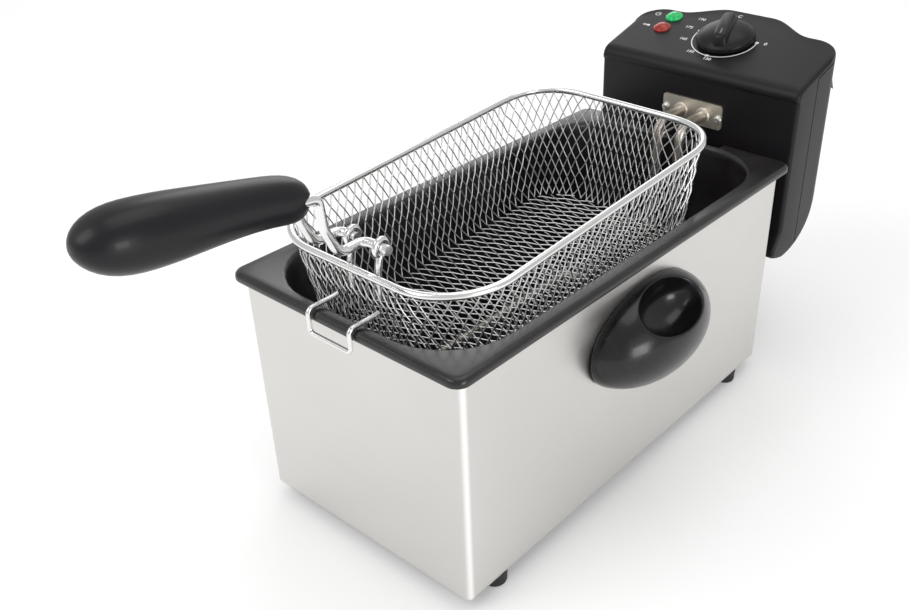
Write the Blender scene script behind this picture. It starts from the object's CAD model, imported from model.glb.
"""Compact deep fryer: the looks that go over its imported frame, laid out as an add-on."""

import math

import bmesh
import bpy
from bpy.props import FloatProperty, FloatVectorProperty, IntProperty, PointerProperty
from mathutils import Matrix, Vector

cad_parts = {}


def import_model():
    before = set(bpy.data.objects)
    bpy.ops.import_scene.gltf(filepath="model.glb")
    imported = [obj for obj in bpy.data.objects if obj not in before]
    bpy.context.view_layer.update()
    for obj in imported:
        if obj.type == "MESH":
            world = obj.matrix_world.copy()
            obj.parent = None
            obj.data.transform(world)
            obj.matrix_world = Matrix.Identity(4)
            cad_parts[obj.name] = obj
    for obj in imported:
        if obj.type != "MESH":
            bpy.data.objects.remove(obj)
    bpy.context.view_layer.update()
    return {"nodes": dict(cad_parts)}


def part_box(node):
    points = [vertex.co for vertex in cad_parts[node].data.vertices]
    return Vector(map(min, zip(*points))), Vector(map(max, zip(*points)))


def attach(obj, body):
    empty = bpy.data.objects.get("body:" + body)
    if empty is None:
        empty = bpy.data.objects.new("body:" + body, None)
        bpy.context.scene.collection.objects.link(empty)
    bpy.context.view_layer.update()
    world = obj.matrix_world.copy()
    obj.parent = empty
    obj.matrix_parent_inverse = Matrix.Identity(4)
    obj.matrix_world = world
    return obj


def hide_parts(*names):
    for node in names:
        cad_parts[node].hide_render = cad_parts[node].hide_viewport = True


bl_info = {
    "name": "Deep Fryer",
    "version": (1, 0, 0),
    "blender": (4, 5, 0),
    "location": "3D View > Sidebar > Fryer",
    "description": "Builds the visible pieces of a compact deep fryer",
    "category": "Object",
}

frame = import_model()

MM = 0.001
BACK = 8.6  # how far the housing's middle lies behind the origin, in mm
TILT = math.radians(15.1)  # slope of the control panel
RIM_Z = 152.5
KNOB_Y = 205.0
LAMP_X = -50.5
LAMP_Y = (203.5, 219.0)
PANEL_Y = 167.0  # front of the sloping panel
PANEL_Z = 194.5  # its height there
SEAM_Y = 192.0  # seam between the head's two covers
BASKET_Y, BASKET_Z, BASKET_TILT = -26.3, 183.7, 3.8  # how the basket hangs
PIVOT_Y, PIVOT_Z = -134, 189.3  # hinge of the basket's handle
NOTCH_X, NOTCH_Y = 33, 150.1  # half width and front of the notch in the pan's rim
LOOP_Z = 46.0  # height of the heating element's loops
WEAVE = 0.38  # how far a mesh wire stands off its middle line
FLOOR_ROUND_X, FLOOR_ROUND_Y = 28, 27.6  # corner radii of the basket's floor
AROUND = 112  # places round the basket where its slanting wires start


def place(x, y, z):
    """A point in metres from millimetres measured from the housing's middle."""
    return Vector((x * MM, (y + BACK) * MM, z * MM))


def panel_z(y):
    """Height of the control panel at y, in mm."""
    return PANEL_Z + (y - PANEL_Y) * math.tan(TILT)


def on_panel(x, y):
    """Matrix that puts a piece drawn in mm about its own origin on the sloping panel."""
    return (
        Matrix.Translation(place(x, y, panel_z(y)))
        @ Matrix.Rotation(TILT, 4, "X")
        @ Matrix.Scale(MM, 4)
    )


def lying(x, y, z, degrees):
    """Matrix that turns a piece drawn in mm about X and puts it at a point."""
    return (
        Matrix.Translation(place(x, y, z))
        @ Matrix.Rotation(math.radians(degrees), 4, "X")
        @ Matrix.Scale(MM, 4)
    )


def in_basket():
    """Matrix from the hanging basket's own millimetres to the frame."""
    return lying(0, BASKET_Y, BASKET_Z, BASKET_TILT)


# ---------- finishes ----------


class Signal:
    """A number inside a finish, so that a pattern is written as a sum."""

    def __init__(self, tree, socket):
        self.tree, self.socket = tree, socket

    def _math(self, operation, first, second):
        node = self.tree.nodes.new("ShaderNodeMath")
        node.operation = operation
        for slot, value in zip(node.inputs, (first, second)):
            if isinstance(value, Signal):
                self.tree.links.new(value.socket, slot)
            else:
                slot.default_value = value
        return Signal(self.tree, node.outputs[0])

    def __add__(self, other):
        return self._math("ADD", self, other)

    __radd__ = __add__

    def __sub__(self, other):
        return self._math("SUBTRACT", self, other)

    def __mul__(self, other):
        return self._math("MULTIPLY", self, other)

    __rmul__ = __mul__

    def __gt__(self, other):
        return self._math("GREATER_THAN", self, other)


class Finish:
    """A material and its shader, with the patterns that this fryer's surfaces use."""

    def __init__(self, name, colour, rough, metal=0.0, coat=0.0, coat_rough=0.05, gleam=0.5):
        self.material = bpy.data.materials.new(name)
        self.material.use_nodes = True
        self.tree = self.material.node_tree
        self.shader = self.tree.nodes["Principled BSDF"]
        self.shader.inputs["Base Color"].default_value = (*colour, 1)
        self.shader.inputs["Roughness"].default_value = rough
        self.shader.inputs["Metallic"].default_value = metal
        self.shader.inputs["Coat Weight"].default_value = coat
        self.shader.inputs["Coat Roughness"].default_value = coat_rough
        self.shader.inputs["Specular IOR Level"].default_value = gleam
        self.material.diffuse_color = (*colour, 1)
        self.colour, self.rough = colour, rough
        self.space = self.node("ShaderNodeTexCoord").outputs["Object"]

    def node(self, kind, settings=None, inputs=None):
        """Adds a node: its settings first, then its sockets' values or links."""
        node = self.tree.nodes.new(kind)
        for key, value in (settings or {}).items():
            if key == "stops":
                ramp = node.color_ramp
                while len(ramp.elements) < len(value):
                    ramp.elements.new(0.5)
                for element, (position, colour) in zip(ramp.elements, value):
                    element.position = position
                    element.color = (*colour, 1)
            else:
                setattr(node, key, value)
        for key, value in (inputs or {}).items():
            if isinstance(value, Signal):
                value = value.socket
            if isinstance(value, bpy.types.NodeSocket):
                self.tree.links.new(value, node.inputs[key])
            else:
                node.inputs[key].default_value = value
        return node

    def noise(self, size, stretch=(1, 1, 1), detail=3.0, rough=0.55):
        """Noise with features of about size mm, drawn out along the axes."""
        mapped = self.node(
            "ShaderNodeMapping", None, {"Vector": self.space, "Scale": stretch}
        )
        noise = self.node(
            "ShaderNodeTexNoise",
            None,
            {
                "Vector": mapped.outputs[0],
                "Scale": 1000.0 / size,
                "Detail": detail,
                "Roughness": rough,
            },
        )
        return Signal(self.tree, noise.outputs[0])

    def cells(self, size):
        """Distance to the nearest of scattered points about size mm apart."""
        cells = self.node(
            "ShaderNodeTexVoronoi", None, {"Vector": self.space, "Scale": 1000.0 / size}
        )
        return Signal(self.tree, cells.outputs["Distance"])

    def along(self, axis, low, high):
        """0 to 1 as a point goes from low to high mm along an axis of the frame."""
        parts = self.node("ShaderNodeSeparateXYZ", None, {0: self.space})
        span = self.node(
            "ShaderNodeMapRange",
            None,
            {0: parts.outputs["XYZ".index(axis)], 1: low * MM, 2: high * MM},
        )
        return Signal(self.tree, span.outputs[0])

    def spread(self, signal, low, high):
        """Stretches the part of a signal between low and high to 0 to 1."""
        span = self.node("ShaderNodeMapRange", None, {0: signal, 1: low, 2: high})
        return Signal(self.tree, span.outputs[0])

    def blend(self, mask, first, second):
        """Colour that goes from first to second as mask goes from 0 to 1."""
        mix = self.node("ShaderNodeMix", {"data_type": "RGBA"}, {0: mask})
        for slot, value in ((6, first), (7, second)):
            if isinstance(value, bpy.types.NodeSocket):
                self.tree.links.new(value, mix.inputs[slot])
            else:
                mix.inputs[slot].default_value = (*value, 1)
        return mix.outputs[2]

    def paint(self, colour=None, rough=None, metal=None, height=None, depth=0.1):
        """Feeds the patterns to the shader; depth is the relief of height, in mm."""
        pairs = (("Base Color", colour), ("Roughness", rough), ("Metallic", metal))
        for socket, value in pairs:
            if value is not None:
                value = value.socket if isinstance(value, Signal) else value
                self.tree.links.new(value, self.shader.inputs[socket])
        if height is not None:
            bump = self.node(
                "ShaderNodeBump",
                None,
                {"Height": height, "Distance": depth * MM, "Strength": 1.0},
            )
            self.tree.links.new(bump.outputs[0], self.shader.inputs["Normal"])
        return self.material


def darker(colour, by):
    return tuple(channel * by for channel in colour)


def satin_steel(name, colour, grain=(1, 1, 60), rough=0.3, metal=1.0, bend=None):
    """Ground sheet steel: fine lines, clouding, smears and a burnished bend near the front."""
    steel = Finish(name, colour, rough, metal)
    lines = steel.noise(18, grain, 6.0, 0.7)
    cloud = steel.noise(90, (1, 1, 1), 2.0)
    smear = steel.spread(steel.noise(34, (1, 1, 2.4), 4.0), 0.55, 0.75)
    tone = steel.spread(lines * 0.6 + cloud * 0.4, 0.3, 0.7)
    base = steel.blend(tone, darker(colour, 0.93), colour)
    if bend:
        across, along = bend
        worn = steel.along("X", across, across + 1.6) * steel.along("Y", along + 2.2, along)
        base = steel.blend(worn, base, (0.97, 0.965, 0.955))
    return steel.paint(
        base,
        rough + lines * 0.10 + smear * 0.07 - 0.04,
        height=lines,
        depth=0.012,
    )


def zinc_steel(name, colour):
    """Plated steel of brackets and screws: soft spangle and dull spots."""
    steel = Finish(name, colour, 0.34, 1.0)
    flakes = steel.cells(2.6)
    dull = steel.noise(7, detail=4.0)
    return steel.paint(
        steel.blend(steel.spread(dull, 0.35, 0.7), colour, darker(colour, 0.72)),
        0.26 + flakes * 0.12 + dull * 0.14,
        height=dull,
        depth=0.02,
    )


def bright_wire(name, colour, rough=0.12):
    """Plated wire: bright, with drawing lines and a faint yellowing from hot oil."""
    wire = Finish(name, colour, rough, 1.0)
    draw = wire.noise(1.6, (1, 1, 1), 2.0)
    stain = wire.spread(wire.noise(24, detail=3.0), 0.48, 0.8)
    warm = tuple(c * k for c, k in zip(colour, (0.95, 0.93, 0.89)))
    return wire.paint(
        wire.blend(stain, colour, warm),
        rough + draw * 0.10 + stain * 0.08,
        height=draw,
        depth=0.012,
    )


def hot_steel(name, colour, brown):
    """Steel that is heated and cooled: straw and brown bands over a dull sheen."""
    steel = Finish(name, colour, 0.34, 1.0)
    bands = steel.noise(16, (1, 1, 0.6), 4.0)
    fine = steel.noise(1.2, detail=2.0)
    return steel.paint(
        steel.blend(steel.spread(bands, 0.35, 0.68), colour, brown),
        0.26 + bands * 0.2 + fine * 0.08,
        height=fine,
        depth=0.02,
    )


def pan_enamel(name, colour):
    """Black enamel on steel: a glassy coat with orange peel and pale specks."""
    enamel = Finish(name, colour, 0.36, 0.0, 0.2, 0.15, 0.4)
    peel = enamel.noise(3.2, detail=2.0)
    specks = enamel.cells(1.9) > 0.10
    film = enamel.spread(enamel.noise(30, detail=5.0), 0.45, 0.75)
    dark = enamel.blend(film, colour, tuple(c * 1.5 + 0.004 for c in colour))
    pale = tuple(c * 2.6 + 0.03 for c in colour)
    return enamel.paint(
        enamel.blend(specks, pale, dark), 0.30 + film * 0.14, height=peel, depth=0.03
    )


def moulded(name, colour, rough=0.42, grain=0.9, depth=0.035, coat=0.0, dust=0.012, gleam=0.28):
    """Moulded plastic: spark-eroded grain, faint flow marks and settled dust."""
    plastic = Finish(name, colour, rough, 0.0, coat, 0.08, gleam)
    pits = plastic.noise(grain, detail=3.0, rough=0.6)
    flow = plastic.noise(42, (1, 1, 0.35), 3.0)
    settled = plastic.spread(plastic.noise(11, detail=6.0, rough=0.7), 0.56, 0.8)
    pale = tuple(c + dust * 0.5 for c in colour)
    base = plastic.blend(plastic.spread(flow, 0.3, 0.7), darker(colour, 0.85), colour)
    return plastic.paint(
        plastic.blend(settled * dust * 3.0, base, pale),
        rough + pits * 0.10 - 0.05 + flow * 0.06,
        height=pits,
        depth=depth,
    )


def polished(name, colour, coat=0.15):
    """Glossy moulded plastic: long ripples, hair scratches and finger marks."""
    plastic = Finish(name, colour, 0.2, 0.0, coat, 0.1, 0.4)
    ripple = plastic.noise(26, detail=1.5)
    scratch = plastic.noise(7, (1, 9, 1), 8.0, 0.75)
    touch = plastic.spread(plastic.noise(15, detail=5.0), 0.5, 0.8)
    return plastic.paint(
        plastic.blend(touch * 0.5, colour, tuple(c * 1.4 + 0.006 for c in colour)),
        0.2 + touch * 0.12 + scratch * 0.06,
        height=ripple + scratch * 0.04,
        depth=0.05,
    )


def rubbery(name, colour):
    """Matt rubber with a bloom and fine pores."""
    rubber = Finish(name, colour, 0.7)
    pores = rubber.noise(0.7, detail=3.0)
    bloom = rubber.spread(rubber.noise(8, detail=5.0), 0.4, 0.75)
    return rubber.paint(
        rubber.blend(bloom, colour, tuple(c * 1.3 + 0.012 for c in colour)),
        0.58 + pores * 0.2 + bloom * 0.08,
        height=pores,
        depth=0.05,
    )


def lens_plastic(name, colour, glow):
    """Clear coloured lens: prism rings under a polished skin, brighter in the middle."""
    lens = Finish(name, colour, 0.14, 0.0, 0.15, 0.05, 0.4)
    lens.shader.inputs["Emission Color"].default_value = (*glow, 1)
    lens.shader.inputs["Emission Strength"].default_value = 0.25
    facets = lens.cells(1.5)
    return lens.paint(
        lens.blend(lens.spread(facets, 0.1, 0.7), glow, colour),
        0.12 + facets * 0.08,
        height=facets,
        depth=0.04,
    )


def print_ink(name, colour):
    """Screen-printed marks: slightly uneven ink."""
    ink = Finish(name, colour, 0.5)
    wear = ink.noise(1.1, detail=4.0)
    return ink.paint(
        ink.blend(ink.spread(wear, 0.6, 0.85), colour, darker(colour, 0.75)),
        0.42 + wear * 0.15,
        height=wear,
        depth=0.01,
    )


# ---------- shaping ----------


def rounded(path, radius, steps=6, closed=False):
    """The path with an arc of the given radius (or radii) at each inner corner."""
    points = [Vector(p) for p in path]
    count = len(points)
    made = []
    for i, corner in enumerate(points):
        if not closed and i in (0, count - 1):
            made.append(corner)
            continue
        size = radius[i] if isinstance(radius, (list, tuple)) else radius
        before, after = points[i - 1] - corner, points[(i + 1) % count] - corner
        half = before.angle(after) / 2
        if size <= 0 or half > math.radians(88):
            made.append(corner)
            continue
        reach = min(size / math.tan(half), before.length * 0.49, after.length * 0.49)
        start = corner + before.normalized() * reach
        end = corner + after.normalized() * reach
        middle = corner + (before.normalized() + after.normalized()).normalized() * (
            reach / math.cos(half)
        )
        a, b = start - middle, end - middle
        sweep = a.angle(b)
        for k in range(steps + 1):
            t = k / steps
            made.append(
                middle
                + (a * math.sin((1 - t) * sweep) + b * math.sin(t * sweep))
                / math.sin(sweep)
            )
    kept = made[:1]
    for point in made[1:]:
        if (point - kept[-1]).length > 0.15 * MM:
            kept.append(point)
    return kept


def tubes(paths, diameter, closed=False, sides=12):
    """A mesh of round wire that follows each path of points, with closed ends."""
    line = bpy.data.curves.new("wire", "CURVE")
    line.dimensions = "3D"
    line.bevel_depth = diameter / 2
    line.bevel_resolution = max(0, (sides - 4) // 2)
    line.use_fill_caps = not closed
    line.twist_mode = "MINIMUM"
    for path in paths:
        spline = line.splines.new("POLY")
        spline.points.add(len(path) - 1)
        for point, spot in zip(spline.points, path):
            point.co = (*spot, 1)
        spline.use_cyclic_u = closed
    holder = bpy.data.objects.new("wire", line)
    bpy.context.scene.collection.objects.link(holder)
    seen = holder.evaluated_get(bpy.context.evaluated_depsgraph_get())
    mesh = bpy.data.meshes.new_from_object(seen)
    bpy.data.objects.remove(holder)
    bpy.data.curves.remove(line)
    return mesh


def piece(name, shape, body, finish, replaces=(), crisp=32.0):
    """Makes the finished object from a bmesh or a mesh, and lets it ride on its body."""
    if isinstance(shape, bmesh.types.BMesh):
        mesh = bpy.data.meshes.new(name)
        shape.to_mesh(mesh)
        shape.free()
    else:
        mesh = shape
        mesh.name = name
    mesh.shade_smooth()
    mesh.set_sharp_from_angle(angle=math.radians(crisp))
    mesh.materials.clear()
    mesh.materials.append(finish)
    thing = bpy.data.objects.new(name, mesh)
    bpy.context.scene.collection.objects.link(thing)
    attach(thing, body)
    if replaces:
        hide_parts(*replaces)
    return thing


def ring(bm, points):
    """A closed loop of edges through the points."""
    verts = [bm.verts.new(p) for p in points]
    return [bm.edges.new((verts[i - 1], verts[i])) for i in range(len(verts))]


def loft(bm, rings, start=True, end=True):
    """Bridges closed loops one after another, and caps the first and last."""
    loops = [ring(bm, points) for points in rings]
    for first, second in zip(loops, loops[1:]):
        bmesh.ops.bridge_loops(bm, edges=first + second)
    for wanted, loop in ((start, loops[0]), (end, loops[-1])):
        if wanted:
            bmesh.ops.edgeloop_fill(bm, edges=loop)
    bmesh.ops.recalc_face_normals(bm, faces=bm.faces)
    return bm


def outline(half_x, low_y, high_y, radius, corner=8, side=10):
    """Points round a rectangle with round corners, in mm, always the same number."""
    points = []
    spots = (
        (half_x - radius, low_y + radius, 270),
        (half_x - radius, high_y - radius, 0),
        (radius - half_x, high_y - radius, 90),
        (radius - half_x, low_y + radius, 180),
    )
    for i, (x, y, turn) in enumerate(spots):
        for k in range(corner + 1):
            a = math.radians(turn + 90 * k / corner)
            points.append((x + radius * math.cos(a), y + radius * math.sin(a)))
        nx, ny, nturn = spots[(i + 1) % 4]
        a = math.radians(nturn)
        goal = (nx + radius * math.cos(a), ny + radius * math.sin(a))
        here = points[-1]
        for k in range(1, side):
            t = k / side
            points.append(
                (here[0] + (goal[0] - here[0]) * t, here[1] + (goal[1] - here[1]) * t)
            )
    return points


def level(points, z):
    return [place(x, y, z) for x, y in points]


def turned(bm, profile, matrix, steps=48):
    """Spins a profile of (radius, height) points in mm about Z, then places it."""
    verts = [bm.verts.new((r, 0, z)) for r, z in profile]
    edges = [bm.edges.new(pair) for pair in zip(verts, verts[1:])]
    bmesh.ops.spin(
        bm,
        geom=verts + edges,
        cent=(0, 0, 0),
        axis=(0, 0, 1),
        angle=math.tau,
        steps=steps,
        use_merge=True,
    )
    bmesh.ops.remove_doubles(bm, verts=bm.verts, dist=1e-4)
    bmesh.ops.recalc_face_normals(bm, faces=bm.faces)
    bmesh.ops.transform(bm, matrix=matrix, verts=bm.verts)
    return bm


def absorb(bm, other):
    """Adds another bmesh to this one and frees it."""
    holder = bpy.data.meshes.new("holder")
    other.to_mesh(holder)
    other.free()
    bm.from_mesh(holder)
    bpy.data.meshes.remove(holder)


def block(bm, size, matrix, bevel=0.0, segments=2, upright=False):
    """A cuboid of size mm about its own middle, with all or only its Z edges rounded."""
    made = bmesh.ops.create_cube(bm, size=1.0)
    verts = made["verts"]
    bmesh.ops.scale(bm, vec=size, verts=verts)
    if bevel:
        edges = list({e for v in verts for e in v.link_edges})
        if upright:
            edges = [e for e in edges if abs(e.verts[0].co.z - e.verts[1].co.z) > 0.5 * size[2]]
        out = bmesh.ops.bevel(
            bm,
            geom=edges,
            offset=bevel,
            segments=segments,
            profile=0.5,
            affect="EDGES",
            clamp_overlap=True,
            material=-1,
        )
        verts = list({v for f in out["faces"] for v in f.verts} | set(verts))
        verts = [v for v in verts if v.is_valid]
    bmesh.ops.transform(bm, matrix=matrix, verts=verts)
    return bm


# ---------- sizes and colours ----------


class FryerSettings(bpy.types.PropertyGroup):
    """Sizes and colours of the fryer's looks."""

    steel: FloatVectorProperty(
        name="Housing steel",
        description="Colour of the housing's satin steel",
        subtype="COLOR",
        min=0,
        max=1,
        default=(0.70, 0.685, 0.66),
    )
    plastic: FloatVectorProperty(
        name="Head plastic",
        description="Colour of the control head's grained plastic",
        subtype="COLOR",
        min=0,
        max=1,
        default=(0.008, 0.007, 0.0085),
    )
    enamel: FloatVectorProperty(
        name="Pan enamel",
        description="Colour of the oil pan's enamel",
        subtype="COLOR",
        min=0,
        max=1,
        default=(0.015, 0.0135, 0.0135),
    )
    wire: FloatVectorProperty(
        name="Wire plating",
        description="Colour of the basket's plated wire",
        subtype="COLOR",
        min=0,
        max=1,
        default=(0.86, 0.865, 0.87),
    )
    mesh_wire: FloatProperty(
        name="Mesh wire",
        description="Thickness of the basket's mesh wire",
        unit="LENGTH",
        default=0.0008,
        min=0.0005,
        max=0.0015,
    )
    rim_wire: FloatProperty(
        name="Rim wire",
        description="Thickness of the basket's rim wire",
        unit="LENGTH",
        default=0.004,
        min=0.003,
        max=0.005,
    )
    fork_wire: FloatProperty(
        name="Fork wire",
        description="Thickness of the basket handle's wire",
        unit="LENGTH",
        default=0.005,
        min=0.004,
        max=0.006,
    )
    corner: FloatProperty(
        name="Housing corner",
        description="Radius of the housing's bent corners",
        unit="LENGTH",
        default=0.004,
        min=0.001,
        max=0.008,
    )
    daylight: FloatProperty(
        name="Surround",
        description="Brightness of the white surround",
        default=0.60,
        min=0,
        max=3,
    )
    key_light: FloatProperty(
        name="Key light",
        description="Power of the large light over the front",
        unit="POWER",
        default=9.0,
        min=0,
        max=200,
    )
    mesh_rows: IntProperty(
        name="Mesh rows",
        description="Rows of crossings up the basket's side",
        default=11,
        min=5,
        max=31,
    )


# ---------- stage ----------


class FRYER_OT_stage(bpy.types.Operator):
    """Make the camera, the pale floor and the soft lights"""

    bl_idname = "fryer.stage"
    bl_label = "Stage"

    def execute(self, context):
        settings = context.scene.fryer
        lens = bpy.data.cameras.new("camera")
        lens.lens = 40.906
        lens.sensor_width = 36.0
        lens.shift_x = -0.0821
        lens.shift_y = 0.0184
        lens.clip_start, lens.clip_end = 0.01, 50.0
        camera = bpy.data.objects.new("camera", lens)
        turn, dip = math.radians(39.28), math.radians(32.05)
        look = Vector(
            (
                -math.sin(turn) * math.cos(dip),
                math.cos(turn) * math.cos(dip),
                -math.sin(dip),
            )
        )
        camera.location = (0.3387, -0.4124, 0.4159)
        camera.rotation_mode = "QUATERNION"
        camera.rotation_quaternion = look.to_track_quat("-Z", "Y")
        context.scene.collection.objects.link(camera)
        context.scene.camera = camera

        bm = bmesh.new()
        bmesh.ops.create_grid(bm, x_segments=4, y_segments=4, size=4.0)
        mesh = bpy.data.meshes.new("floor")
        bm.to_mesh(mesh)
        bm.free()
        floor = bpy.data.objects.new("floor", mesh)
        context.scene.collection.objects.link(floor)
        card = Finish("floor_card", (0.90, 0.90, 0.90), 0.9)
        card.shader.inputs["Emission Color"].default_value = (1, 1, 1, 1)
        card.shader.inputs["Emission Strength"].default_value = 0.18
        tooth = card.noise(3.0, detail=4.0)
        mesh.materials.append(
            card.paint(
                card.blend(tooth, (0.89, 0.89, 0.89), (0.91, 0.91, 0.91)),
                height=tooth,
                depth=0.02,
            )
        )

        world = bpy.data.worlds.new("studio")
        world.use_nodes = True
        sky = world.node_tree.nodes["Background"]
        sky.inputs["Color"].default_value = (1, 1, 1, 1)
        sky.inputs["Strength"].default_value = settings.daylight
        context.scene.world = world
        context.scene.view_settings.view_transform = "Standard"

        aims = (
            ("key", (-0.55, -1.25, 1.35), 1.1, settings.key_light),
            ("fill", (1.5, -0.25, 0.75), 0.9, settings.key_light * 0.12),
            ("top", (0.0, 0.35, 1.7), 1.2, settings.key_light * 0.6),
            ("back", (-1.2, 1.3, 0.9), 1.0, settings.key_light * 0.5),
            ("side", (1.655, -0.32, 0.34), 0.6, settings.key_light * 0.75),
        )
        for name, spot, size, power in aims:
            lamp = bpy.data.lights.new(name, "AREA")
            lamp.shape = "SQUARE"
            lamp.size = size
            lamp.energy = power
            holder = bpy.data.objects.new(name, lamp)
            holder.location = spot
            aim = Vector((0, 0, 0.12)) - Vector(spot)
            holder.rotation_mode = "QUATERNION"
            holder.rotation_quaternion = aim.to_track_quat("-Z", "Y")
            context.scene.collection.objects.link(holder)
        return {"FINISHED"}


# ---------- housing ----------


class FRYER_OT_housing(bpy.types.Operator):
    """Make the steel housing and its rubber feet"""

    bl_idname = "fryer.housing"
    bl_label = "Housing and feet"

    def execute(self, context):
        settings = context.scene.fryer
        low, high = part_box("housing_shell")
        half = (high - low) / 2
        radius = settings.corner / MM
        bm = bmesh.new()
        levels = ((0.0, 1.6), (0.0, 0.5), (1.2, 0.0), (3.0, 0.0))
        rings = []
        base = low.z / MM
        for lift, inset in levels:
            walls = outline(
                half.x / MM - inset, inset - 150, 150 - inset, radius - inset / 2
            )
            rings.append(level(walls, base + lift))
        rings.append(level(outline(half.x / MM, -150, 150, radius), high.z / MM))
        loft(bm, rings, False, False)
        bmesh.ops.solidify(bm, geom=bm.faces, thickness=1.0 * MM)
        steel = satin_steel("housing_steel", tuple(settings.steel), bend=(75.0, -139.0))
        piece("housing_panel", bm, "housing", steel, ["housing_shell"], crisp=50)

        bm = bmesh.new()
        for sx in (-70, 70):
            for sy in (-122, 122):
                foot = bmesh.new()
                profile = (
                    (2.2, 0.6), (3.6, 0.6), (3.7, 0.0), (5.8, 0.0), (6.6, 0.5), (6.9, 1.3),
                    (7.0, 2.4), (7.0, 6.4), (7.25, 6.9), (7.25, 9.0), (2.2, 9.0), (2.2, 0.6),
                )
                spot = Matrix.Translation(place(sx, sy, 0)) @ Matrix.Scale(MM, 4)
                turned(foot, profile, spot, 40)
                absorb(bm, foot)
        piece("foot_pads", bm, "housing", rubbery("foot_rubber", (0.012, 0.012, 0.013)), ["feet"])
        return {"FINISHED"}


class FRYER_OT_carry_handles(bpy.types.Operator):
    """Make the two rounded carry handles with their finger pockets"""

    bl_idname = "fryer.carry_handles"
    bl_label = "Carry handles"

    def execute(self, context):
        black = polished("handle_gloss", (0.005, 0.005, 0.006))
        for side, body in ((1, "right"), (-1, "left")):
            bm = bmesh.new()
            loft(bm, self.rings(), True, True)
            if side < 0:
                bmesh.ops.scale(bm, vec=(-1, 1, 1), verts=bm.verts)
                bmesh.ops.recalc_face_normals(bm, faces=bm.faces)
            name = body + "_carry_handle"
            thing = piece(body + "_handle_moulding", bm, "housing", black, [name], crisp=60)
            smooth = thing.modifiers.new("smooth", "SUBSURF")
            smooth.levels = smooth.render_levels = 1
        return {"FINISHED"}

    @staticmethod
    def rings():
        """Loops from the middle of the pocket, over its lip and out to the wall."""
        out, far, tall = 31.7, 51.6, 30.4
        mid = Vector((0.638, 0, 0.770)).normalized()
        up = Vector((-mid.z, 0, mid.x))
        side = Vector((0, 1, 0))
        share, turn = 0.8527, 0.5224
        flat = mid * share
        inward = -Vector((0.62, 0, 0.78))
        hub = Vector((77.25, 0, 105.4))
        steps = [i * math.tau / 56 for i in range(56)]

        def world(unit, sunk=0.0):
            spot = Vector((unit.x * out, unit.y * far, unit.z * tall)) + inward * sunk
            return place(*(hub + spot))

        rings = []
        depths = ((0.10, 17.0), (0.35, 16.4), (0.6, 14.4), (0.78, 11.0), (0.89, 6.6),
                  (0.945, 2.6), (0.965, 0.9), (0.985, 0.15))
        for share_r, sunk in depths:
            rings.append(
                [
                    world(
                        flat + (side * math.cos(a) + up * math.sin(a)) * turn * share_r,
                        sunk,
                    )
                    for a in steps
                ]
            )
        for t in (0.012, 0.05, 0.14, 0.27, 0.42, 0.57, 0.72, 0.86, 0.95, 1.0):
            loop = []
            for a in steps:
                start = (flat + (side * math.cos(a) + up * math.sin(a)) * turn).normalized()
                end = Vector((0, math.cos(a), math.sin(a)))
                sweep = start.angle(end)
                unit = (
                    start * math.sin((1 - t) * sweep) + end * math.sin(t * sweep)
                ) / math.sin(sweep)
                loop.append(world(unit))
            rings.append(loop)
        return rings


# ---------- oil pan ----------


class FRYER_OT_oil_pan(bpy.types.Operator):
    """Make the enamelled oil pan with its rolled rim"""

    bl_idname = "fryer.oil_pan"
    bl_label = "Oil pan"

    def execute(self, context):
        settings = context.scene.fryer
        rings = []
        rim = (
            (0.9, -5.1), (0.2, -4.8), (0.0, -4.3), (0.0, -2.8), (0.25, -1.6), (1.0, -0.6),
            (2.2, -0.1), (3.4, 0.0), (4.8, -0.05),
        )
        for inset, z in rim:
            radius = max(7.5 - inset * 0.6, 4.5)
            points = outline(81.5 - inset, inset - 155.5, 158.5 - inset, radius)
            rings.append(level(points, RIM_Z + z))
        mouth = (
            (-2.2, -0.15), (-1.1, -0.5), (-0.2, -1.4), (0.35, -3.0), (0.5, -6.0),
            (1.2, -60.0), (1.6, -104.0), (2.6, -109.6), (5.4, -113.6), (9.6, -115.4),
            (14.0, -116.0),
        )
        for inset, z in mouth:
            radius = max(40 - inset, 12)
            points = outline(71 - inset, inset - 147, 148 - inset, radius)
            rings.append(level(points, RIM_Z + z))
        rings.append(level(outline(30, -100, 100, 20), RIM_Z - 116.0))
        bm = bmesh.new()
        loft(bm, rings, False, True)
        for spot, face in (
            ((-NOTCH_X, 0), (1, 0, 0)), ((NOTCH_X, 0), (1, 0, 0)), ((0, NOTCH_Y), (0, 1, 0)),
        ):
            bmesh.ops.bisect_plane(
                bm,
                geom=bm.verts[:] + bm.edges[:] + bm.faces[:],
                plane_co=place(spot[0], spot[1], 150),
                plane_no=face,
                dist=1e-6,
            )
        gone = []
        for f in bm.faces:
            c = f.calc_center_median()
            if abs(c.x) < NOTCH_X * MM and c.y > (NOTCH_Y + BACK) * MM and c.z > 0.14:
                gone.append(f)
        bmesh.ops.delete(bm, geom=gone, context="FACES")
        bmesh.ops.remove_doubles(bm, verts=bm.verts, dist=0.03 * MM)
        bmesh.ops.dissolve_degenerate(bm, edges=bm.edges, dist=0.02 * MM)
        bmesh.ops.recalc_face_normals(bm, faces=bm.faces)
        floor = min(bm.faces, key=lambda f: abs(f.calc_center_median().z - 0.0365))
        if floor.normal.z < 0:
            bmesh.ops.reverse_faces(bm, faces=bm.faces)
        bmesh.ops.solidify(bm, geom=bm.faces, thickness=1.1 * MM)
        enamel = pan_enamel("pan_enamel", tuple(settings.enamel))
        piece("enamel_pan", bm, "oil_pan_body", enamel, ["oil_pan"], crisp=40)
        return {"FINISHED"}


# ---------- control head ----------


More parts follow.
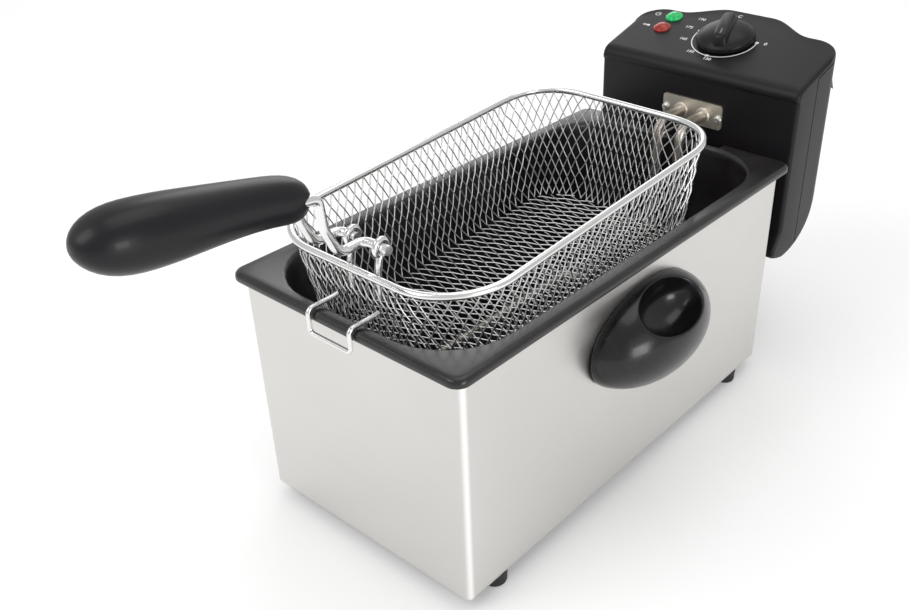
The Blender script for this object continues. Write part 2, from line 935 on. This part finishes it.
def head_back(x):
    """How far back the head reaches at x, with its round corners and its bay, in mm."""
    across = abs(x)
    if across > 57:
        return 210 + math.sqrt(max(0.0, 19**2 - (across - 57) ** 2))
    t = min(max((across - 16) / 34, 0), 1)
    return 229 + 14 * (1 - t * t * (3 - 2 * t))


def head_section(x, inset):
    """Outline of the head at x, from its nose round the panel and the back."""
    back, g = head_back(x), inset
    points = [(161 + g, 80.5 + g), (160.8 + g, 83.5), (162.4 + g, 87.5), (167.8 + g, 96.3)]
    points += [(168.5 + g, z) for z in (99, 130, 160, 182)]
    roll = ((0.0, 187.0), (-1.0, 188.2), (-1.25, 190.0), (-0.6, 192.2), (1.2, 194.5), (4.0, 196.0))
    points += [(168.5 + g + dy, z - g * 0.9) for dy, z in roll]
    first = 175 + g
    last = back - 4.5
    for k in range(9):
        y = first + (last - first) * k / 8
        points.append((y, panel_z(y) - g))
    top = panel_z(back)
    edge = ((-2.2, -0.35), (-0.9, -0.9), (-0.2, -1.9), (0.0, -3.4))
    points += [(back + dy, top + dz - g * (1 + dy / 4)) for dy, dz in edge]
    tall = 29 + 0.75 * max(back - 213, 0)
    low = 74.5 + tall
    points += [(back, low + (top - low) * s) for s in (0.75, 0.5, 0.25)]
    for k in range(15):
        a = math.pi / 2 * k / 14
        points.append((176 + (back - 176) * math.cos(a), low - (tall - g) * math.sin(a)))
    points += [(170, 76.0 + g), (164 + g * 0.5, 78.2 + g)]
    return [place(x, y, z) for y, z in points]


def head_surface():
    """The whole outside of the head as one closed skin."""
    soft = 2.6
    stations = []
    for k in range(7):
        a = math.radians(90 * k / 6)
        stations.append((76 - soft + soft * math.cos(a), soft * (1 - math.sin(a))))
    across = (71.5, 69, 66, 63, 60, 57, 54, 50, 46, 42, 38, 34, 30, 26, 22, 18, 14, 7)
    stations += [(x, 0.0) for x in across]
    xs = stations + [(0.0, 0.0)] + [(-x, g) for x, g in reversed(stations)]
    bm = bmesh.new()
    return loft(bm, [head_section(x, g) for x, g in xs], True, True)


def cut_head(front):
    """Front cover with the panel's skin, or what is left for the rear cover."""
    bm = head_surface()
    step = 0.0 if front else 0.8
    planes = (
        (place(0, SEAM_Y + step, 100), Vector((0, 1, 0))),
        (
            place(0, PANEL_Y, PANEL_Z - 3.6 - step),
            Vector((0, -math.sin(TILT), math.cos(TILT))),
        ),
    )
    for spot, normal in planes:
        bmesh.ops.bisect_plane(
            bm,
            geom=bm.verts[:] + bm.edges[:] + bm.faces[:],
            plane_co=spot,
            plane_no=normal,
            dist=1e-7,
        )
    gone = []
    for f in bm.faces:
        c = f.calc_center_median()
        ahead = (c - planes[0][0]).dot(planes[0][1]) < 0
        above = (c - planes[1][0]).dot(planes[1][1]) > 0
        if (ahead or above) != front:
            gone.append(f)
    bmesh.ops.delete(bm, geom=gone, context="FACES")
    bmesh.ops.solidify(bm, geom=bm.faces, thickness=2.4 * MM)
    return bm


class FRYER_OT_control_head(bpy.types.Operator):
    """Make the control head's two covers and the marks printed on its panel"""

    bl_idname = "fryer.control_head"
    bl_label = "Control head"

    def execute(self, context):
        settings = context.scene.fryer
        grain = moulded("head_grain", tuple(settings.plastic), 0.40, 0.8, 0.03)
        piece("head_front", cut_head(True), "control_head", grain, ["head_front_cover"], crisp=30)
        piece("head_rear", cut_head(False), "control_head", grain, ["head_rear_cover"], crisp=30)
        ink = print_ink("panel_ink", (0.82, 0.82, 0.80))
        bm = bmesh.new()
        self.arc(bm)
        for text, x, y, size in (
            ("0", 27.3, 210.0, 4.6), ("130", 0.5, 180.4, 4.0), ("150", -15.0, 184.4, 4.0),
            ("165", -28.3, 196.6, 4.0), ("175", -33.0, 211.0, 4.0), ("190", -30.2, 223.0, 4.0),
            ("C", -7.0, 235.4, 4.6),
        ):
            self.number(bm, text, x, y, size)
        self.lamp_marks(bm)
        piece("panel_marks", bm, "control_head", ink, crisp=20)
        return {"FINISHED"}

    @staticmethod
    def strip(bm, points, width, matrix):
        """A thin raised line of ink along flat points in mm."""
        path = [Vector((x, y, 0)) for x, y in points]
        pairs = []
        for i, here in enumerate(path):
            way = path[min(i + 1, len(path) - 1)] - path[max(i - 1, 0)]
            across = Vector((-way.y, way.x, 0)).normalized() * width / 2
            pairs.append((bm.verts.new(here + across), bm.verts.new(here - across)))
        faces = []
        for (a, b), (c, d) in zip(pairs, pairs[1:]):
            faces.append(bm.faces.new((a, b, d, c)))
        made = bmesh.ops.extrude_face_region(bm, geom=faces)
        lifted = [v for v in made["geom"] if isinstance(v, bmesh.types.BMVert)]
        bmesh.ops.translate(bm, vec=(0, 0, 0.08), verts=lifted)
        verts = list({v for pair in pairs for v in pair} | set(lifted))
        bmesh.ops.transform(bm, matrix=matrix, verts=verts)
        bmesh.ops.recalc_face_normals(bm, faces=bm.faces)

    def arc(self, bm):
        spot = on_panel(-1.0, KNOB_Y + 0.6)
        points = []
        for k in range(49):
            a = math.radians(10 - 200 * k / 48)
            points.append((22.6 * math.cos(a), 22.6 * math.sin(a)))
        self.strip(bm, points, 0.8, spot)
        for degrees in (10, -92, -190):
            a = math.radians(degrees)
            dot = bmesh.ops.create_cone(
                bm, cap_ends=True, segments=20, radius1=1.35, radius2=1.35, depth=0.1
            )
            move = spot @ Matrix.Translation((22.6 * math.cos(a), 22.6 * math.sin(a), 0.05))
            bmesh.ops.transform(bm, matrix=move, verts=dot["verts"])

    def number(self, bm, text, x, y, size):
        line = bpy.data.curves.new("number", "FONT")
        line.body = text
        line.size = size
        line.align_x, line.align_y = "CENTER", "CENTER"
        line.extrude = 0.04
        line.offset = 0.06
        line.resolution_u = 3
        holder = bpy.data.objects.new("number", line)
        bpy.context.scene.collection.objects.link(holder)
        seen = holder.evaluated_get(bpy.context.evaluated_depsgraph_get())
        mesh = bpy.data.meshes.new_from_object(seen)
        mesh.transform(on_panel(x, y) @ Matrix.Translation((0, 0, 0.04)))
        bm.from_mesh(mesh)
        bpy.data.objects.remove(holder)
        bpy.data.curves.remove(line)
        bpy.data.meshes.remove(mesh)

    def lamp_marks(self, bm):
        """A switched-on sign by the green lamp, a thermometer by the red one."""
        spot = on_panel(LAMP_X - 13.5, LAMP_Y[1])
        points = []
        for k in range(25):
            a = math.radians(125 + 290 * k / 24)
            points.append((1.9 * math.cos(a), 1.9 * math.sin(a)))
        self.strip(bm, points, 0.55, spot)
        self.strip(bm, [(0, 0.2), (0, 2.6)], 0.55, spot)
        spot = on_panel(LAMP_X - 13.5, LAMP_Y[0])
        self.strip(bm, [(-2.6, 0), (1.2, 0)], 0.8, spot)
        ball = bmesh.ops.create_cone(
            bm, cap_ends=True, segments=18, radius1=1.2, radius2=1.2, depth=0.1
        )
        bmesh.ops.transform(
            bm, matrix=spot @ Matrix.Translation((2.0, 0, 0.05)), verts=ball["verts"]
        )
        for y in (1.1, -1.1):
            for x in (-2.2, -0.9):
                self.strip(bm, [(x, y), (x + 0.8, y)], 0.3, spot)


class FRYER_OT_knob_and_lamps(bpy.types.Operator):
    """Make the thermostat knob with its ridge, and the two lamp lenses"""

    bl_idname = "fryer.knob_and_lamps"
    bl_label = "Knob and lamps"

    def execute(self, context):
        spot = on_panel(0, KNOB_Y) @ Matrix.Rotation(math.radians(16.5), 4, "Z")
        bm = bmesh.new()
        profile = (
            (0.0, 10.8), (4.0, 10.6), (8.0, 10.1), (11.5, 9.3), (14.5, 8.2), (16.6, 7.0),
            (17.8, 6.0), (18.6, 5.2), (19.4, 4.8), (19.9, 4.2), (20.0, 3.5), (20.0, 1.9),
            (19.6, 1.3), (0.0, 1.3),
        )
        turned(bm, profile, spot, 64)
        ridge = bmesh.new()
        sections = []
        for z, long, wide in (
            (3.0, 18.6, 6.4), (5.0, 18.3, 6.1), (8.0, 17.6, 5.7), (10.5, 16.7, 5.3),
            (12.1, 15.8, 4.9), (13.0, 14.9, 4.3), (13.4, 13.6, 3.3),
        ):
            loop = []
            for k in range(40):
                a = math.tau * k / 40
                c, s = math.cos(a), math.sin(a)
                loop.append(
                    Vector(
                        (
                            wide * math.copysign(abs(c) ** 0.45, c),
                            long * math.copysign(abs(s) ** 0.45, s),
                            z - 0.0016 * long * long * (abs(s) ** 2) * (z > 11.5),
                        )
                    )
                )
            sections.append(loop)
        loft(ridge, sections, True, True)
        bmesh.ops.transform(ridge, matrix=spot, verts=ridge.verts)
        absorb(bm, ridge)
        grain = moulded("knob_grain", (0.009, 0.009, 0.010), 0.34, 0.6, 0.015)
        piece("knob_moulding", bm, "knob", grain, ["thermostat_knob"], crisp=35)

        bm = bmesh.new()
        bar = bmesh.ops.create_cube(bm, size=1.0)["verts"]
        bmesh.ops.scale(bm, vec=(1.1, 6.0, 0.16), verts=bar)
        bmesh.ops.transform(bm, matrix=spot @ Matrix.Translation((0, -10.4, 13.2)), verts=bar)
        ink = print_ink("pointer_ink", (0.16, 0.16, 0.165))
        piece("knob_pointer", bm, "knob", ink)

        for node, y, name, colour, glow in (
            ("power_lamp_lens", LAMP_Y[1], "green_lens", (0.004, 0.30, 0.07), (0.02, 0.60, 0.16)),
            ("ready_lamp_lens", LAMP_Y[0], "red_lens", (0.20, 0.014, 0.009), (0.36, 0.03, 0.018)),
        ):
            bm = bmesh.new()
            profile = (
                (0.0, 3.3), (1.4, 3.2), (2.8, 2.9), (4.0, 2.35), (4.9, 1.7), (5.5, 1.15),
                (5.9, 1.0), (6.1, 0.7), (6.1, 0.05), (3.95, 0.0), (3.95, -7.0), (0.0, -7.0),
            )
            turned(bm, profile, on_panel(LAMP_X, y), 44)
            piece(name, bm, "control_head", lens_plastic(name + "_plastic", colour, glow), [node])
        return {"FINISHED"}


# ---------- heating element ----------


class FRYER_OT_element(bpy.types.Operator):
    """Make the heating element, its plate and screws, and the sensor's thin tube"""

    bl_idname = "fryer.element"
    bl_label = "Heating element"

    def execute(self, context):
        low = LOOP_Z
        half = [
            (8.5, 179, 164), (8.5, 139, 164), (8.5, 139, low), (8.5, -92, low),
            (32.5, -92, low), (32.5, 108, low), (56.5, 108, low), (56.5, -109, low),
            (0, -109, low),
        ]
        radii = [0, 10, 12, 12, 12, 12, 12, 15, 0]
        right = rounded([place(*p) for p in half], [r * MM for r in radii], 9)
        left = [Vector((-p.x, p.y, p.z)) for p in reversed(right[:-1])]
        path = right + left
        tube = tubes([path], 6.5 * MM, sides=18)
        hot = hot_steel("element_steel", (0.68, 0.65, 0.60), (0.47, 0.41, 0.34))
        piece("element_tube", tube, "control_head", hot, ["heating_element"], crisp=60)

        bm = bmesh.new()
        spot = Matrix.Translation(place(0, 167.9, 165)) @ Matrix.Scale(MM, 4)
        block(bm, (46, 17, 1.2), spot @ Matrix.Rotation(math.radians(90), 4, "X"), 2.2, 4, True)
        for x in (-8.5, 8.5):
            collar = bmesh.new()
            turn = lying(x, 167.3, 164, 90)
            profile = (
                (3.3, 0.0), (5.3, 0.0), (5.3, 0.5), (4.8, 1.1), (3.3, 1.3), (3.3, 0.0),
            )
            turned(collar, profile, turn, 32)
            absorb(bm, collar)
        plate = satin_steel("plate_steel", (0.84, 0.78, 0.68), (60, 1, 1), 0.42)
        piece("element_flange", bm, "control_head", plate, ["element_plate"])

        bm = bmesh.new()
        for x in (-20.5, 20.5):
            head = bmesh.new()
            turn = lying(x, 167.3, 164, 90)
            profile = ((0, 1.2), (1.0, 1.85), (1.9, 1.6), (2.6, 1.0), (2.85, 0.25), (2.85, 0.0),
                       (1.5, 0.0), (1.5, -8.0), (0, -8.0))
            turned(head, profile, turn, 32)
            for spin in (20, 110):
                slot = (
                    turn
                    @ Matrix.Rotation(math.radians(spin), 4, "Z")
                    @ Matrix.Translation((0, 0, 1.62))
                )
                bar = bmesh.ops.create_cube(head, size=1.0)["verts"]
                bmesh.ops.scale(head, vec=(3.2, 0.6, 0.5), verts=bar)
                bmesh.ops.transform(head, matrix=slot, verts=bar)
            absorb(bm, head)
        zinc = zinc_steel("screw_zinc", (0.74, 0.74, 0.72))
        piece("flange_screws", bm, "control_head", zinc, ["plate_screws"])

        route = [
            (20.5, 40, 46), (20.5, 129, 46), (20.5, 129, 74), (0, 129, 94),
            (0, 129, 160), (0, 185, 160), (0, 198.5, 173.5),
        ]
        bends = [0, 7, 8, 8, 6, 8, 0]
        thin = rounded([place(*p) for p in route], [b * MM for b in bends], 6)
        thin_steel = hot_steel("sensor_steel", (0.66, 0.64, 0.60), (0.48, 0.42, 0.36))
        piece("sensor_tube", tubes([thin], 1.6 * MM, sides=8), "control_head", thin_steel,
              ["capillary_tube"])
        return {"FINISHED"}


# ---------- basket ----------


def basket_outline(node, half_x, half_y, round_x, round_y):
    """Point and outward direction at a counted place round the basket, 0 to 112."""
    node %= AROUND
    sx, sy = half_x - round_x, half_y - round_y
    legs = (
        (26, lambda t: ((half_x, -sy + 2 * sy * t), (1, 0))),
        (9, lambda t: corner_place(sx, sy, round_x, round_y, 90 * t, 0.82)),
        (12, lambda t: ((sx - 2 * sx * t, half_y), (0, 1))),
        (9, lambda t: corner_place(-sx, sy, round_x, round_y, 90 + 90 * t, 0.82)),
        (26, lambda t: ((-half_x, sy - 2 * sy * t), (-1, 0))),
        (9, lambda t: corner_place(-sx, -sy, round_x, round_y, 180 + 90 * t)),
        (12, lambda t: ((-sx + 2 * sx * t, -half_y), (0, -1))),
        (9, lambda t: corner_place(sx, -sy, round_x, round_y, 270 + 90 * t)),
    )
    for count, spot in legs:
        if node <= count:
            return spot(node / count)
        node -= count
    return legs[0][1](0)


def corner_place(x, y, round_x, round_y, degrees, square=1.0):
    """A place on a round corner; square under 1 fills the corner out."""
    a = math.radians(degrees)
    c, s = math.cos(a), math.sin(a)
    across = math.copysign(abs(c) ** square, c)
    along = math.copysign(abs(s) ** square, s)
    return (x + round_x * across, y + round_y * along), (c, s)


class FRYER_OT_basket(bpy.types.Operator):
    """Make the basket: its rim, woven mesh, hanging hook and eyelets"""

    bl_idname = "fryer.basket"
    bl_label = "Basket"

    half_x, half_y, deep = 56.0, 103.6, 67.4

    def wall(self, node, row, rows, lift):
        """Place on the basket's side: row 0 is at the floor's edge, rows at the rim."""
        curve = 2.5
        floor_part = curve * math.pi / 2
        length = floor_part + 64.1
        s = length * row / rows
        if s < floor_part:
            a = s / curve
            out, z = curve * math.sin(a), -self.deep + curve * (1 - math.cos(a))
            tip = Vector((math.sin(a), -math.cos(a)))
        else:
            t = (s - floor_part) / (length - floor_part)
            out, z = curve + 8.9 * t, -self.deep + curve + (self.deep - curve - 1.4) * t
            tip = Vector((1.0, -0.14)).normalized()
        (x, y), (nx, ny) = basket_outline(
            node,
            self.half_x + out,
            self.half_y + out,
            FLOOR_ROUND_X + out,
            FLOOR_ROUND_Y + out,
        )
        return Vector((x + nx * tip.x * lift, y + ny * tip.x * lift, z + tip.y * lift))

    def inside(self, x, y):
        cx, cy = self.half_x - FLOOR_ROUND_X, self.half_y - FLOOR_ROUND_Y
        dx = max(0.0, abs(x) - cx) / FLOOR_ROUND_X
        dy = max(0.0, abs(y) - cy) / FLOOR_ROUND_Y
        return dx * dx + dy * dy <= 1.0 + 1e-6

    def floor_lines(self, lift):
        """The two sets of slanting wires on the floor, each as a run of crossings."""
        px, py = self.half_x / 4, 2 * (self.half_y - FLOOR_ROUND_Y) / 26
        lines = []
        for way in (1, -1):
            for k in range(-22, 23):
                run = []
                for a in range(-8, 9):
                    b = way * (2 * k - a)
                    x, y = px * a / 2, py * b / 2
                    if not (abs(b) <= 35 and self.inside(x, y)):
                        continue
                    high = lift if (a % 2 == 0) == (way > 0) else -lift
                    run.append(Vector((x, y, -self.deep + high)))
                if len(run) > 1:
                    for end, step in ((0, -1), (-1, 1)):
                        tip = run[end]
                        reach = (run[1] - run[0]).normalized() * step
                        far = 0.0
                        while far < 12.0:
                            ahead = tip + reach * far
                            if not self.inside(ahead.x, ahead.y):
                                break
                            far += 0.25
                        if far > 0.5:
                            spot = tip + reach * far
                            spot.z = -self.deep
                            run.insert(0, spot) if end == 0 else run.append(spot)
                    lines.append(run)
        return lines

    def execute(self, context):
        settings = context.scene.fryer
        spot = in_basket()
        plate = bright_wire("wire_plating", tuple(settings.wire), 0.13)
        woven = bright_wire("mesh_plating", darker(tuple(settings.wire), 0.88), 0.24)
        rim = []
        for half_step in range(2 * AROUND):
            (x, y), _ = basket_outline(half_step / 2, 68.5, 115, 38, 38)
            rim.append(spot @ Vector((x, y, 0)))
        piece("rim_ring", tubes([rim], settings.rim_wire, True, 18), "basket", plate,
              ["basket_rim"], crisp=60)

        rows = settings.mesh_rows
        lines = self.floor_lines(WEAVE)
        for way in (1, -1):
            for start in range(AROUND):
                run = []
                for row in range(rows + 1):
                    high = WEAVE if (row % 2 == 0) == (way > 0) else -WEAVE
                    run.append(self.wall(start + way * row / 2, row, rows, high))
                lines.append(run)
        lines = [[spot @ p for p in run] for run in lines]
        mesh = tubes(lines, settings.mesh_wire, sides=6)
        piece("woven_mesh", mesh, "basket", woven, ["basket_mesh"], crisp=80)

        left, right, top = -16.0, 13.4, RIM_Z + 2.1
        hook = [
            (left, -138.2, top + 0.4), (left, -141.0, top), (left, -157.4, top),
            (left, -157.4, top - 13.2), (right, -157.4, top - 13.2), (right, -157.4, top),
            (right, -141.0, top), (right, -138.2, top + 0.4),
        ]
        bends = [0, 3, 3, 2.6, 2.6, 3, 3, 0]
        path = rounded([place(*p) for p in hook], [b * MM for b in bends], 7)
        piece("drain_hook", tubes([path], 2.6 * MM, sides=14), "basket", plate,
              ["basket_hook"], crisp=60)

        runs = []
        for x in (-5.0, 14.5):
            loop = []
            for k in range(29):
                a = math.radians(-100 + 335 * k / 28)
                y, z = PIVOT_Y + 4.1 * math.cos(a), PIVOT_Z + 4.1 * math.sin(a)
                loop.append((x, y, z))
            start = [(x, -137.0, 162.5), (x, -136.9, 172.0), (x, -136.5, 180.0), (x, -135.7, 183.8)]
            runs.append([place(*p) for p in start + loop])
        piece("eyelet_wires", tubes(runs, 3.0 * MM, sides=12), "basket", plate,
              ["handle_eyelets"], crisp=60)
        return {"FINISHED"}


class FRYER_OT_basket_handle(bpy.types.Operator):
    """Make the basket's folding handle: the wire fork and the moulded grip"""

    bl_idname = "fryer.basket_handle"
    bl_label = "Basket handle"

    def execute(self, context):
        settings = context.scene.fryer
        plate = bpy.data.materials["wire_plating"]
        runs = []
        for x, pin in ((-14.0, 12.5), (3.0, 17.0)):
            line = [
                (x + pin, PIVOT_Y, PIVOT_Z), (x, PIVOT_Y, PIVOT_Z), (x, -150, 188.6),
                (x, -157.0, 204), (x, -158.4, 219.6), (x, -184, 223.4),
            ]
            bends = [0, 5, 8, 14, 4.5, 0]
            runs.append(rounded([place(*p) for p in line], [b * MM for b in bends], 7))
        piece("fork_wires", tubes(runs, settings.fork_wire, sides=16), "basket_handle", plate,
              ["handle_fork"], crisp=60)

        stations = (
            (-160.9, 217.4, 2.0, 1.6), (-161.2, 217.6, 5.6, 4.8), (-162.4, 218.2, 8.6, 7.8),
            (-165.2, 219.3, 10.8, 10.0), (-170.4, 220.8, 11.7, 10.9), (-178, 222.8, 11.8, 11.1),
            (-190, 225.0, 12.0, 11.5), (-202, 226.8, 12.8, 12.3), (-214, 228.4, 13.8, 13.2),
            (-226, 229.9, 14.8, 14.2), (-238, 231.4, 15.4, 14.7), (-248, 232.8, 15.2, 14.4),
            (-256, 234.0, 13.8, 12.6), (-262, 235.0, 10.8, 9.4), (-265.8, 235.7, 6.6, 5.6),
            (-267.4, 236.0, 2.4, 2.0),
        )
        loops = []
        for i, (y, z, wide, tall) in enumerate(stations):
            ahead = stations[min(i + 1, len(stations) - 1)]
            behind = stations[max(i - 1, 0)]
            slope = Vector((0, behind[0] - ahead[0], behind[1] - ahead[1])).normalized()
            up = Vector((0, -slope.z, slope.y))
            loop = []
            for k in range(40):
                a = math.tau * k / 40
                c, s = math.cos(a), math.sin(a)
                flat = 0.9 if s > 0 else 0.96
                across = wide * math.copysign(abs(c) ** flat, c)
                rise = tall * math.copysign(abs(s) ** flat, s)
                loop.append(place(*(Vector((-5.5 + across, y, z)) + up * rise)))
            loops.append(loop)
        bm = loft(bmesh.new(), loops, True, True)
        soft = moulded("grip_satin", (0.008, 0.008, 0.010), 0.34, 0.5, 0.012, coat=0.08)
        grip = piece("grip_moulding", bm, "basket_handle", soft, ["handle_grip"], crisp=70)
        smooth = grip.modifiers.new("smooth", "SUBSURF")
        smooth.levels = smooth.render_levels = 1
        return {"FINISHED"}


# ---------- small parts ----------


class FRYER_OT_fittings(bpy.types.Operator):
    """Make the cord bush and reset button, and finish the carried-over small parts"""

    bl_idname = "fryer.fittings"
    bl_label = "Fittings"

    def execute(self, context):
        bm = bmesh.new()
        turn = lying(0, 237, 134, -90)
        profile = [(3.5, -3.0), (7.4, -3.0), (7.4, -1.0), (9.5, -1.0), (9.5, 3.2), (7.4, 3.4),
                   (7.4, 6.1), (9.3, 6.2), (9.5, 6.6), (9.4, 8.6), (8.8, 9.1)]
        profile += [(7.6, 9.4), (7.2, 10.2), (7.4, 11.0), (6.8, 11.6), (6.9, 12.6), (6.2, 13.4),
                    (5.9, 14.0), (3.5, 14.0), (3.5, -3.0)]
        turned(bm, profile, turn, 40)
        piece("cord_bush", bm, "control_head", rubbery("bush_rubber", (0.012, 0.012, 0.013)),
              ["cord_gland"])

        bm = bmesh.new()
        turn = lying(0, 0, 158, -90)
        profile = ((0, 232.5), (3.0, 232.5), (3.0, 238.2), (5.0, 238.2), (5.0, 243.9),
                   (4.6, 244.4), (3.6, 244.5), (0, 244.1))
        turned(bm, profile, turn, 32)
        red = polished("reset_red", (0.42, 0.02, 0.015))
        piece("reset_cap", bm, "reset", red, ["reset_button"])

        zinc = bpy.data.materials["screw_zinc"]
        bracket = zinc_steel("bracket_zinc", (0.62, 0.62, 0.61))
        bare = satin_steel("machined_steel", (0.66, 0.66, 0.65), (1, 1, 8), 0.3)
        pale = moulded("pale_moulding", (0.62, 0.59, 0.52), 0.5, 0.6, 0.02)
        finishes = {
            "base_plate": moulded("base_paint", (0.02, 0.02, 0.021), 0.45, 1.6, 0.03),
            "foot_screws": zinc, "foot_nuts": zinc, "carry_handle_screws": zinc,
            "cover_screws": zinc, "hanger_screws": zinc,
            "rear_guide": bracket, "head_hanger": bracket,
            "guide_rivets": satin_steel("rivet_metal", (0.72, 0.72, 0.72), (1, 1, 6), 0.28),
            "element_collars": hot_steel("collar_brass", (0.70, 0.52, 0.28), (0.46, 0.30, 0.14)),
            "sensor_bulb": bare, "sensor_clips": bare, "knob_shaft": bare,
            "thermostat_body": pale,
            "lamp_holders": moulded("holder_white", (0.72, 0.72, 0.68), 0.45, 0.6, 0.02),
            "thermal_cutout": moulded("cutout_brown", (0.05, 0.045, 0.04), 0.4, 0.6, 0.02),
            "interlock_switch": moulded("switch_black", (0.02, 0.02, 0.022), 0.4, 0.5, 0.02),
            "interlock_pin": moulded("pin_orange", (0.55, 0.16, 0.03), 0.4, 0.5, 0.02),
            "terminal_block": moulded("terminal_cream", (0.70, 0.68, 0.60), 0.45, 0.6, 0.02),
            "inner_wires": moulded("wire_sleeving", (0.42, 0.05, 0.03), 0.45, 0.8, 0.02),
        }
        for node, finish in finishes.items():
            thing = frame["nodes"][node]
            thing.data.materials.clear()
            thing.data.materials.append(finish)
        return {"FINISHED"}


OPERATORS = (
    FRYER_OT_stage,
    FRYER_OT_housing,
    FRYER_OT_carry_handles,
    FRYER_OT_oil_pan,
    FRYER_OT_control_head,
    FRYER_OT_knob_and_lamps,
    FRYER_OT_element,
    FRYER_OT_basket,
    FRYER_OT_basket_handle,
    FRYER_OT_fittings,
)


class FRYER_PT_panel(bpy.types.Panel):
    """Lists the fryer's pieces in the sidebar"""

    bl_idname = "FRYER_PT_panel"
    bl_label = "Deep Fryer"
    bl_space_type = "VIEW_3D"
    bl_region_type = "UI"
    bl_category = "Fryer"

    def draw(self, context):
        settings = context.scene.fryer
        column = self.layout.column()
        for name in settings.bl_rna.properties.keys():
            if name not in ("rna_type", "name"):
                column.prop(settings, name)
        for operator in OPERATORS:
            column.operator(operator.bl_idname)


CLASSES = (FryerSettings, *OPERATORS, FRYER_PT_panel)


def register():
    for cls in CLASSES:
        bpy.utils.register_class(cls)
    bpy.types.Scene.fryer = PointerProperty(type=FryerSettings)


def unregister():
    del bpy.types.Scene.fryer
    for cls in reversed(CLASSES):
        bpy.utils.unregister_class(cls)


def main():
    register()
    for operator in OPERATORS:
        group, name = operator.bl_idname.split(".")
        getattr(getattr(bpy.ops, group), name)()


if __name__ == "__main__":
    main()
